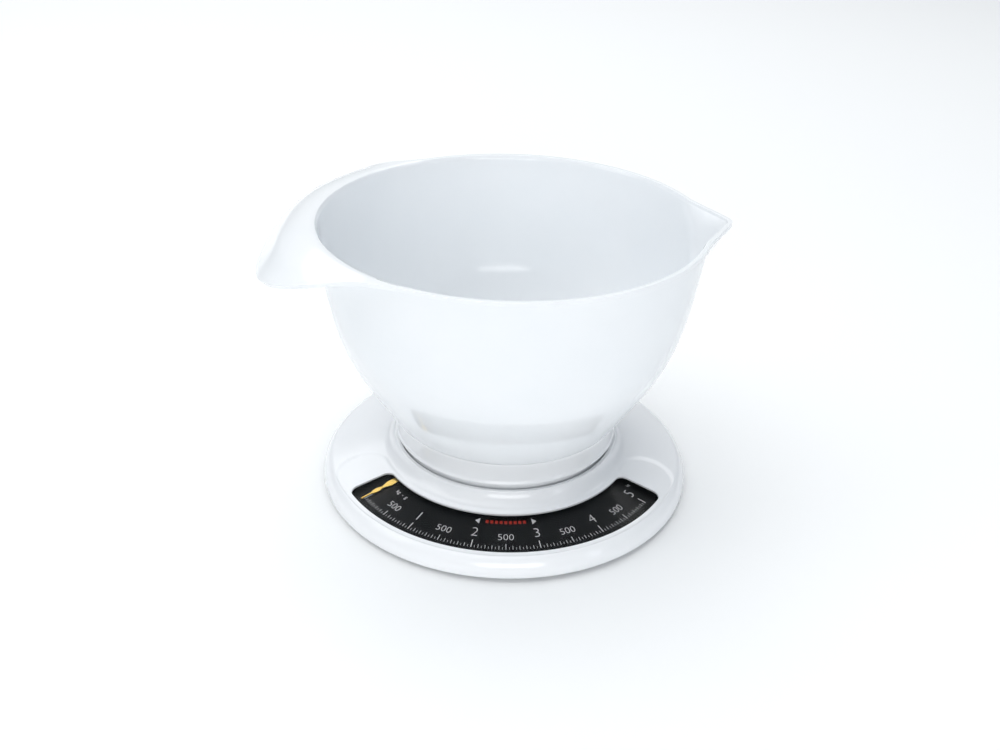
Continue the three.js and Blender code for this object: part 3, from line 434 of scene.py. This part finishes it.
# The foot and floor, from the middle out and down to the foot's edge and up to the belly.
def footOutline():
    foot, bottom, edge = bowl["foot"], bowl["footBottom"], bowl["footRound"]
    inner = foot - bowl["footWidth"]
    bellyFoot = bowl["bellyStart"][1]
    return [(bowl["centerHole"], bowl["floor"]), (inner - 0.6, bowl["floor"]),
            (inner, bowl["floor"] - edge), (inner, bottom + edge), (inner + edge, bottom),
            (foot - edge, bottom), (foot, bottom + edge), (foot + 0.1, bellyFoot - 0.4),
            (foot + 0.6, bellyFoot)]


def buildBowl():
    rimRadius, edgeHeight = bowl["rimRadius"], rimHeight - bowl["wall"]
    lipRadius = rimRadius + bowl["rimTurn"]
    x, z = bowl["bellyStart"]
    (lowerOut, lowerUp), (upperIn, upperDown) = bowl["lowerPull"], bowl["upperPull"]
    belly = bezier((x, z), (x + lowerOut, z + lowerUp),
                   (rimRadius - upperIn, rimHeight - upperDown),
                   (rimRadius, edgeHeight - 0.8), bowl["bellySteps"])
    turn = [(rimRadius + 0.08, edgeHeight - 0.4), (lipRadius, edgeHeight - 0.12)]
    lip = [step / bowl["lipSteps"] for step in range(1, bowl["lipSteps"] + 1)]
    start = footOutline()
    outline = start + belly + turn + [(lipRadius + share, edgeHeight) for share in lip]
    sides = bowl["sides"]
    piece = turnPiece("mixingBowl", outline, sides)
    turnStart = len(start) + len(belly)
    lipStart = turnStart + len(turn)
    crease = bowl["handleCrease"]
    creaseFall = bowl["handleFall"] * crease ** 2
    wallStart = 100  # from here up the belly follows the spout a little ahead, to meet the lip
    for index, vertex in enumerate(piece.data.vertices):
        ring = index // sides
        x, y = vertex.co.x - axisX, vertex.co.y
        roundAngle = math.degrees(math.atan2(y, x))
        height = vertex.co.z / mm
        radius = math.hypot(x, y) / mm
        if ring >= turnStart:
            if ring >= lipStart:
                along = lip[ring - lipStart]
                drop = dropShare(roundAngle)
                reach = bowl["lipReach"] - bowl["rimTurn"] - 0.4 * drop
                reach += bowl["handleReach"] * handleShare(roundAngle)
                fall = bowl["handleFall"] * along * along
                if along >= crease:
                    fall = creaseFall + (1 - creaseFall) * (along - crease) / (1 - crease)
                radius = lipRadius + reach * along
                height = edgeHeight - bowl["handleDrop"] * drop * fall
            radius += spoutPull(roundAngle, rimHeight)
        else:
            risen = max(0, (height - wallStart) / (rimHeight - wallStart))
            radius += spoutPull(roundAngle, height + bowl["wall"] * risen)
        x, y = polar(radius * mm, roundAngle)
        vertex.co = (axisX + x, y, height * mm)
    editAll(piece)
    bpy.ops.mesh.normals_make_consistent(inside=False)
    bpy.ops.object.mode_set(mode="OBJECT")
    belowRim = 0.12
    side = max(piece.data.polygons,
               key=lambda face: face.center.y if face.center.z < belowRim else -1)
    if side.normal.y < 0:  # an open sheet has no inside, so its outer side is set by hand
        editAll(piece)
        bpy.ops.mesh.flip_normals()
        bpy.ops.object.mode_set(mode="OBJECT")
    return piece


bowlSheet = buildBowl()
print("bowl sheet,", len(bowlSheet.data.vertices), "points")

# the wall goes inwards from the sheet, then the lip and foot edges are rounded
wall = bowlSheet.modifiers.new("wall", "SOLIDIFY")
wall.thickness = bowl["wall"] * mm
wall.offset = -1
wall.use_even_offset = True
wall.use_quality_normals = True
applyModifiers(bowlSheet)
recalculate(bowlSheet)
lipEdges = bowlSheet.modifiers.new("lipEdges", "BEVEL")
lipEdges.width = bowl["lipRound"] * mm
lipEdges.segments = 4
lipEdges.limit_method = "ANGLE"
lipEdges.angle_limit = math.radians(50)
applyModifiers(bowlSheet)
finishPiece(bowlSheet, bowlPolypropylene, "bowl", "bowl_plastic", "mixing_bowl", angle=40)
print("bowl ready,", len(bowlSheet.data.polygons), "faces")

# the cover: a low round dome with a soft track round its front
cover = {
    "shoulder": 98.5,
    "shoulderHeight": 13.6,
    "slope": 0.1916,
    "sideLowPull": 5.4,
    "sideHighPull": (2.8, 13.0),  # in from the base's edge, then height
    "coneInner": 69.0,
    "coneSteps": 50,
    "flarePulls": ((66.6, 0.5), (63.9, 23.0)),
    "mouthOuter": 63.0,
    "mouthInner": 60.8,
    "mouthHeight": 26.6,
    "wall": 1.85,
    "skirtInner": 101.4,
    "skirtBottom": coverLow.z / mm,
    "trackInner": 69.8,
    "trackOuter": 98.8,
    "trackHalfSweep": 79.0,
    "trackDepth": 0.8,
    "trackEdge": 1.5,
    "windowInner": 71.2,
    "windowOuter": 96.2,
    "windowHalfSweep": 62.2,
    "windowCorner": 5.0,
    "slotHalfWidth": 11.9,
    "slotLow": 9.1,
    "slotHigh": 12.1,
    "slotReach": (97, 110),
    "sides": 400,
}


def coneHeight(radius):
    return cover["shoulderHeight"] + cover["slope"] * (cover["shoulder"] - radius)


# How deep the track is at a point: full inside it, easing to nothing across its edge.
def trackShare(radius, roundAngle):
    half = (cover["trackOuter"] - cover["trackInner"]) / 2
    middle = cover["trackInner"] + half
    endAngle = cover["trackHalfSweep"] - math.degrees(half / middle)
    away = abs((roundAngle - frontAngle + 180) % 360 - 180)
    if away <= endAngle:
        inset = half - abs(radius - middle)
    else:
        across = math.radians(away - endAngle)
        inset = half - math.hypot(radius * math.sin(across), radius * math.cos(across) - middle)
    share = min(1, max(0, inset / cover["trackEdge"] + 0.5))
    return share * share * (3 - 2 * share)


def coverOutline():
    low, shoulder = cover["skirtBottom"], cover["shoulder"]
    coneInner, coneTop = cover["coneInner"], coneHeight(cover["coneInner"])
    wall, skirt = cover["wall"], cover["skirtInner"]
    mouthInner, mouthHeight = cover["mouthInner"], cover["mouthHeight"]
    pullIn, pullHeight = cover["sideHighPull"]
    (flareRadius, flareRise), throat = cover["flarePulls"]
    bottom = [(baseRadius - 0.4, low), (baseRadius - 0.1, low + 0.12), (baseRadius, low + 0.5)]
    side = bezier((baseRadius, low + 2.2), (baseRadius, low + cover["sideLowPull"]),
                  (baseRadius - pullIn, pullHeight), (shoulder, cover["shoulderHeight"]), 12)
    steps = cover["coneSteps"]
    radii = [shoulder + (coneInner - shoulder) * step / steps for step in range(1, steps)]
    cone = [(radius, coneHeight(radius)) for radius in radii]
    flare = bezier((coneInner, coneTop), (flareRadius, coneTop + flareRise), throat,
                   (cover["mouthOuter"], mouthHeight - 0.4), 14)
    mouth = [(62.85, 26.5), (62.5, mouthHeight), (61.2, mouthHeight), (mouthInner, 26.25),
             (mouthInner, coneTop - 0.6)]
    under = [(62.2, coneTop - 1.4), (coneInner, coneTop - wall),
             (shoulder - 0.5, coneHeight(shoulder - 0.5) - wall), (100.9, 11.0), (skirt, 9.6),
             (skirt, low + 0.2), (skirt + 0.2, low)]
    return bottom + side + cone + flare + mouth + under


def buildCover():
    piece = turnPiece("topCover", coverOutline(), cover["sides"], closed=True)
    nearest, furthest = cover["trackInner"] - 1, cover["shoulder"] + 1
    for vertex in piece.data.vertices:
        x, y, z = (vertex.co.x - axisX) / mm, vertex.co.y / mm, vertex.co.z / mm
        radius = math.hypot(x, y)
        surface = coneHeight(min(radius, cover["shoulder"]))
        if nearest < radius < furthest and z > surface - 0.5:  # the top, not the underside
            share = trackShare(radius, math.degrees(math.atan2(y, x)))
            vertex.co.z -= cover["trackDepth"] * share * mm
    opening = frontSector(cover["windowInner"], cover["windowOuter"], cover["windowHalfSweep"],
                          cover["windowCorner"])
    boolean(piece, standOutline("windowOpening", opening, 5, 30), "DIFFERENCE")
    half, (near, far) = cover["slotHalfWidth"], cover["slotReach"]
    slot = [(-half, near), (half, near), (half, far), (-half, far)]
    wheelSlot = standOutline("wheelSlot", slot, cover["slotLow"], cover["slotHigh"])
    boolean(piece, wheelSlot, "DIFFERENCE")
    return piece


topCover = buildCover()
finishPiece(topCover, shellAbs, "housing", "shell_plastic", "top_cover", angle=30)
print("cover ready,", len(topCover.data.polygons), "faces")


above = 40  # higher than any piece of the housing that is cut


# A layer that follows the cover's slope between two depths below its surface, cut to an
# outline.
def coneLayer(name, outline, inner, outer, topDepth, bottomDepth, sides=240):
    innerHeight, outerHeight = coneHeight(inner), coneHeight(outer)
    ring = [(inner, innerHeight - bottomDepth), (outer, outerHeight - bottomDepth),
            (outer, outerHeight - topDepth), (inner, innerHeight - topDepth)]
    piece = turnPiece(name, ring, sides, closed=True)
    boolean(piece, standOutline(name + "Outline", outline, 0, above), "INTERSECT")
    return piece


# the window: a clear strip whose face lies level with the track's floor, held by a thin flange
window = {
    "clear": 0.3,
    "corner": 4.8,
    "flange": 2.3,
    "depth": 2.9,
    "flangeTop": 2.1,
    "margin": 4,
}


# One step of the window: an even inset from the opening, or an outset where inset is negative.
def windowStep(name, inset, sweep, corner, topDepth):
    inner, outer = cover["windowInner"] + inset, cover["windowOuter"] - inset
    return coneLayer(name, frontSector(inner, outer, sweep, corner), inner - window["margin"],
                     outer + window["margin"], topDepth, window["depth"])


def buildWindow():
    clear, flange = window["clear"], window["flange"]
    outer, sweep = cover["windowOuter"], cover["windowHalfSweep"]
    pad = windowStep("dialWindow", clear, sweep - math.degrees(clear / (outer - clear)),
                     window["corner"], cover["trackDepth"])
    rim = windowStep("windowFlange", -flange, sweep + math.degrees(flange / outer),
                     cover["windowCorner"], window["flangeTop"])
    boolean(pad, rim, "UNION")
    return pad


dialWindow = buildWindow()
finishPiece(dialWindow, windowAcrylic, "housing", "window_plastic", "dial_window", angle=30)
print("window ready")

# the dial: a black strip with white marks for every 50 g up to 5 kg
dial = {
    "depth": 4.6,
    "wall": 1.0,
    "inner": 62.0,
    "outer": 97.2,
    "halfSweep": 72.0,
    "screwRing": 83.7,
    "screwSweep": 68.5,
    "screwHole": 1.5,
    "corner": 3,
    "zeroAngle": -147.25,
    "sweep": 114.5,
    "fullGrams": 5000,
    "inkProud": 0.04,
    "markOuter": 90.6,
    "marks": {50: (1.5, 0.2), 100: (2.3, 0.26), 500: (3.6, 0.36), 1000: (4.9, 0.45)},
    "kilogram": {"ring": 80.4, "height": 5.7, "thinning": 0.22},
    "half": {"ring": 82.5, "height": 3.9, "thinning": 0.18},
    "fullUnit": {"ring": 77.2, "height": 2.2, "thinning": 0.02},
    "zeroUnit": {"ring": 74.6, "height": 2.9, "thinning": 0.02},
    "fullUnitOffset": 4.2,
    "zeroUnitAngle": -138.5,
    "rangeRing": 72.8,
    "arrow": (1.2, 1.9),
    "arrowSweep": 11.7,
    "bar": (0.75, 1.0),
    "barSweep": 1.92,
}


def buildDial():
    outline = frontSector(dial["inner"], dial["outer"], dial["halfSweep"], dial["corner"])
    piece = coneLayer("dialPlate", outline, dial["inner"] - 2, dial["outer"] + 2, dial["depth"],
                      dial["depth"] + dial["wall"])
    for side in (-1, 1):
        center = polar(dial["screwRing"], frontAngle + side * dial["screwSweep"])
        hole = arc(center, dial["screwHole"], 0, 350, 35)
        boolean(piece, standOutline("dialHole", hole, 0, above), "DIFFERENCE")
    return piece


dialPlate = buildDial()
finishPiece(dialPlate, dialInk, "housing", "dial_print", "dial_plate", angle=30)


# Lays a flat shape made round the origin on the dial, its top towards the axis.
def layOnDial(piece, radius, roundAngle):
    angle = math.radians(roundAngle)
    lean = math.atan(cover["slope"])
    along = Vector((-math.sin(angle), math.cos(angle), 0))
    upwards = Vector((-math.cos(angle) * math.cos(lean), -math.sin(angle) * math.cos(lean),
                      math.sin(lean)))
    outwards = along.cross(upwards)
    x, y = polar(radius * mm, roundAngle)
    place = Vector((axisX + x, y, (coneHeight(radius) - dial["depth"]) * mm))
    turned = Matrix((along, upwards, outwards)).transposed().to_4x4()
    piece.matrix_world = Matrix.Translation(place) @ turned
    settle(piece)
    return piece


# A printed shape as thin as its ink, made round the origin.
def flatShape(name, points):
    return standOutline(name, points, 0, dial["inkProud"], middle=0)


# Text centred on the origin, of the height that its style gives, made a mesh.
def printedText(words, style):
    deselectAll()
    bpy.ops.object.text_add()
    lettering = bpy.context.object
    lettering.data.body = words
    lettering.data.size = 0.01
    lettering.data.offset = -style["thinning"] * mm
    lettering.data.extrude = dial["inkProud"] * mm / 2
    lettering.data.resolution_u = 6
    bpy.ops.object.convert(target="MESH")
    xs = [vertex.co.x for vertex in lettering.data.vertices]
    ys = [vertex.co.y for vertex in lettering.data.vertices]
    size = style["height"] * mm / (max(ys) - min(ys))
    middleX, middleY = (max(xs) + min(xs)) / 2, (max(ys) + min(ys)) / 2
    for vertex in lettering.data.vertices:
        x, y, z = vertex.co
        vertex.co = ((x - middleX) * size, (y - middleY) * size, z)
    return lettering


def gramsAngle(grams):
    return dial["zeroAngle"] + dial["sweep"] * grams / dial["fullGrams"]


# A mark for every 50 g, each as long as the largest step that it falls on.
def buildMarks():
    strokes = {}
    for step, (length, width) in dial["marks"].items():
        half = width / 2
        strokes[step] = flatShape("mark", [(-half, 0), (half, 0), (half, length), (-half, length)])
    marks = []
    for grams in range(0, dial["fullGrams"] + 1, min(strokes)):
        stroke = strokes[max(step for step in strokes if grams % step == 0)]
        mark = stroke.copy()
        mark.data = stroke.data.copy()
        bpy.context.collection.objects.link(mark)
        marks.append(layOnDial(mark, dial["markOuter"], gramsAngle(grams)))
    for stroke in strokes.values():
        bpy.data.objects.remove(stroke)
    return marks


def buildPrint():
    pieces = buildMarks()
    kilogram, full = 1000, dial["fullGrams"]
    half = kilogram // 2
    words = [(str(grams // kilogram), "kilogram", gramsAngle(grams))
             for grams in range(kilogram, full + 1, kilogram)]
    words += [(str(half), "half", gramsAngle(grams)) for grams in range(half, full, kilogram)]
    words += [("kg", "fullUnit", gramsAngle(full) + dial["fullUnitOffset"]),
              ("kg  -  g", "zeroUnit", dial["zeroUnitAngle"])]
    for text, kind, roundAngle in words:
        style = dial[kind]
        pieces.append(layOnDial(printedText(text, style), style["ring"], roundAngle))
    length, breadth = dial["arrow"]
    for side in (-1, 1):
        corners = [(-side * length, -breadth), (side * length, 0), (-side * length, breadth)]
        corners = corners[::side]  # the same way round on both sides
        arrow = flatShape("rangeArrow", corners)
        roundAngle = frontAngle + side * dial["arrowSweep"]
        pieces.append(layOnDial(arrow, dial["rangeRing"], roundAngle))
    return joinPieces(pieces, "dialPrint")


# Nine plain red bars between the arrows.
def buildBars():
    bars = []
    x, y = dial["bar"]
    for place in range(-4, 5):
        bar = flatShape("redBar", [(-x, -y), (x, -y), (x, y), (-x, y)])
        bars.append(layOnDial(bar, dial["rangeRing"], frontAngle + place * dial["barSweep"]))
    return joinPieces(bars, "dialMarks")


dialPrint = buildPrint()
finishPiece(dialPrint, printWhite, "housing", "dial_print")
dialMarks = buildBars()
finishPiece(dialMarks, printRed, "housing", "dial_print")
print("dial ready,", len(dialPrint.data.polygons), "faces of print")

# the platform: the collar that the bowl drops into, its guide ring and four posts
platform = {
    "top": 40.0,
    "lip": 43.4,
    "seat": 60.2,
    "collar": 62.6,
    "guide": 58.8,
    "guideWall": 2.2,
    "guideBottom": 20.5,
    "wall": 2.4,
    "shelf": 30.0,
    "centerCap": 1,
    "waistPulls": ((0.4, 39.0), (1.0, 36)),  # in from the collar, then height
    "waist": (1.1, 32.2),
    "post": 4.0,
    "postBore": 1.4,
    "boreDepth": 8,
    "postTopDepth": 2.5,
    "postPlaces": ((-38, -12), (38, -12), (38, 12), (-38, 12)),
    "postBottom": 15.35,
}


def deckOutline():
    collar, seat, lip, top = (platform[key] for key in ("collar", "seat", "lip", "top"))
    guide, bottom, shelf = platform["guide"], platform["guideBottom"], platform["shelf"]
    guideInner, under = guide - platform["guideWall"], top - platform["wall"]
    (upperIn, upperHeight), (lowerIn, lowerHeight) = platform["waistPulls"]
    waistIn, waistHeight = platform["waist"]
    outline = [(platform["centerCap"], top), (seat - 0.3, top), (seat, top + 0.25),
               (seat + 0.3, lip - 0.3), (seat + 0.5, lip - 0.06), (seat + 0.8, lip),
               (collar - 0.1, lip), (collar + 0.3, lip - 0.1), (collar + 0.4, lip - 0.45)]
    outline += bezier((collar + 0.38, lip - 1.0), (collar - upperIn, upperHeight),
                      (collar - lowerIn, lowerHeight), (collar - waistIn, waistHeight), 10)
    return outline + [
        (collar - 1.0, 31.6), (collar - 0.5, 31.1), (collar - 0.4, 30.8), (collar - 0.4, 30.2),
        (collar - 0.6, shelf), (guide, shelf), (guide, bottom + 0.2), (guide - 0.2, bottom),
        (guideInner, bottom), (guideInner, under), (platform["centerCap"], under)]


def buildPlatform():
    piece = turnPiece("platformDeck", deckOutline(), capped=True)
    post, bore, bottom = platform["post"], platform["postBore"], platform["postBottom"]
    top = platform["top"] - platform["postTopDepth"]
    outline = [(bore, bottom + platform["boreDepth"]), (bore, bottom), (post - 0.2, bottom),
               (post, bottom + 0.2), (post, top), (bore, top)]
    posts = [turnPiece("post", outline, 32, closed=True, at=place)
             for place in platform["postPlaces"]]
    return joinPieces([piece] + posts, "platformDeck")


platformDeck = buildPlatform()
finishPiece(platformDeck, shellAbs, "platform", "shell_plastic", "platform_deck", angle=38)
print("platform ready")

# the pieces that keep their frame shape get their finish
finishes = {
    "base_pan": shellAbs,
    "foot_": footRubber,
    "pointer_hub": machinedBrass,
    "pointer_arbor": zincSteel,
    "pointer": goldLacquer,
    "pinion": machinedBrass,
    "rack_keeper": nylonMoulded,
    "rack": machinedBrass,
    "bell_crank": machinedBrass,
    "arbor_bush": nylonMoulded,
    "zero_wheel": nylonMoulded,
    "main_spring": springSteel,
}
for name, node in nodes.items():
    chosen = (finish for start, finish in finishes.items() if name.startswith(start))
    dress(node, next(chosen, zincSteel))
print("inner pieces dressed")

# camera, lights and floor
view = {
    "place": (-0.0045, -0.51347, 0.35429),
    "forward": (0.01482, 0.86812, -0.49614),
    "right": (0.99974, -0.00410, 0.02267),
    "lens": 38.115,
}
cameraData = bpy.data.cameras.new("camera")
cameraData.lens = view["lens"]
cameraData.sensor_width = 36
cameraData.clip_start = 0.02
camera = bpy.data.objects.new("camera", cameraData)
bpy.context.collection.objects.link(camera)
forward = Vector(view["forward"]).normalized()
right = Vector(view["right"]).normalized()
up = right.cross(forward)
turn = Matrix((right, up, -forward)).transposed()
camera.matrix_world = Matrix.Translation(view["place"]) @ turn.to_4x4()
bpy.context.scene.camera = camera

studio = {
    "floor": "#fbfcfc",
    "floorRoughness": 0.75,
    "floorSize": 6,
    "floorPlace": (0, 1.2, -0.0002),
    "world": "#f2f6fa",
    "worldSides": "#5c748c",
    "worldPower": 0.48,
    "worldEdge": (0.3, 0.9),
}
softBoxes = {
    "overheadBox": {"place": (-0.45, 0.75, 2.2), "target": (0, 0.45, 0), "size": (4.2, 3.6),
                    "power": 70, "color": "#ffffff"},
    "leftBox": {"place": (-1.15, -0.35, 0.85), "target": (0.02, 0, 0.1), "size": (0.5, 0.8),
                "power": 1.8, "color": "#ffffff"},
    "frontBox": {"place": (0.1, -1.5, 0.5), "target": (0, 0, 0.06), "size": (1.0, 0.5),
                 "power": 6.4, "color": "#ffffff"},
    "curveBox": {"place": (0.75, -0.62, 0.30), "target": (0.05, 0, 0.08), "size": (0.12, 0.45),
                 "power": 0.5, "color": "#f4f8ff"},
}
for name, box in softBoxes.items():
    data = bpy.data.lights.new(name, "AREA")
    data.shape = "RECTANGLE"
    data.size, data.size_y = box["size"]
    data.energy = box["power"]
    data.color = linear(box["color"])[:3]
    lamp = bpy.data.objects.new(name, data)
    bpy.context.collection.objects.link(lamp)
    lamp.location = box["place"]
    aim = Vector(box["target"]) - Vector(box["place"])
    lamp.rotation_euler = aim.to_track_quat("-Z", "Y").to_euler()

# the room is pale overhead and in front, and falls to blue grey at both sides
world = bpy.context.scene.world or bpy.data.worlds.new("studio")
bpy.context.scene.world = world
world.use_nodes = True
sky = world.node_tree.nodes["Background"]
facing = addNode(world, "ShaderNodeTexCoord").outputs["Generated"]
sideways = addNode(world, "ShaderNodeSeparateXYZ", {}, {"Vector": facing}).outputs["X"]
away = addNode(world, "ShaderNodeMath", {"operation": "ABSOLUTE"}, {0: sideways})
near, far = studio["worldEdge"]
edge = addNode(world, "ShaderNodeMapRange", {"From Min": near, "From Max": far},
               {"Value": away.outputs[0]})
room = addNode(world, "ShaderNodeMix",
               {"data_type": "RGBA", mixPale: linear(studio["world"]),
                mixDeep: linear(studio["worldSides"])},
               {mixShare: edge.outputs["Result"]})
linkTo(world, room.outputs[mixResult], sky, "Color")
sky.inputs["Strength"].default_value = studio["worldPower"]
bpy.context.scene.view_settings.view_transform = "Standard"

deselectAll()
bpy.ops.mesh.primitive_plane_add(size=studio["floorSize"], location=studio["floorPlace"])
floor = bpy.context.object
floor.name = "studioFloor"
settle(floor)
floorPaper, floorShader = startMaterial("floorPaperCoated", Roughness=studio["floorRoughness"])
floorShader.inputs["Base Color"].default_value = linear(studio["floor"])
dress(floor, floorPaper)

print("stage ready")
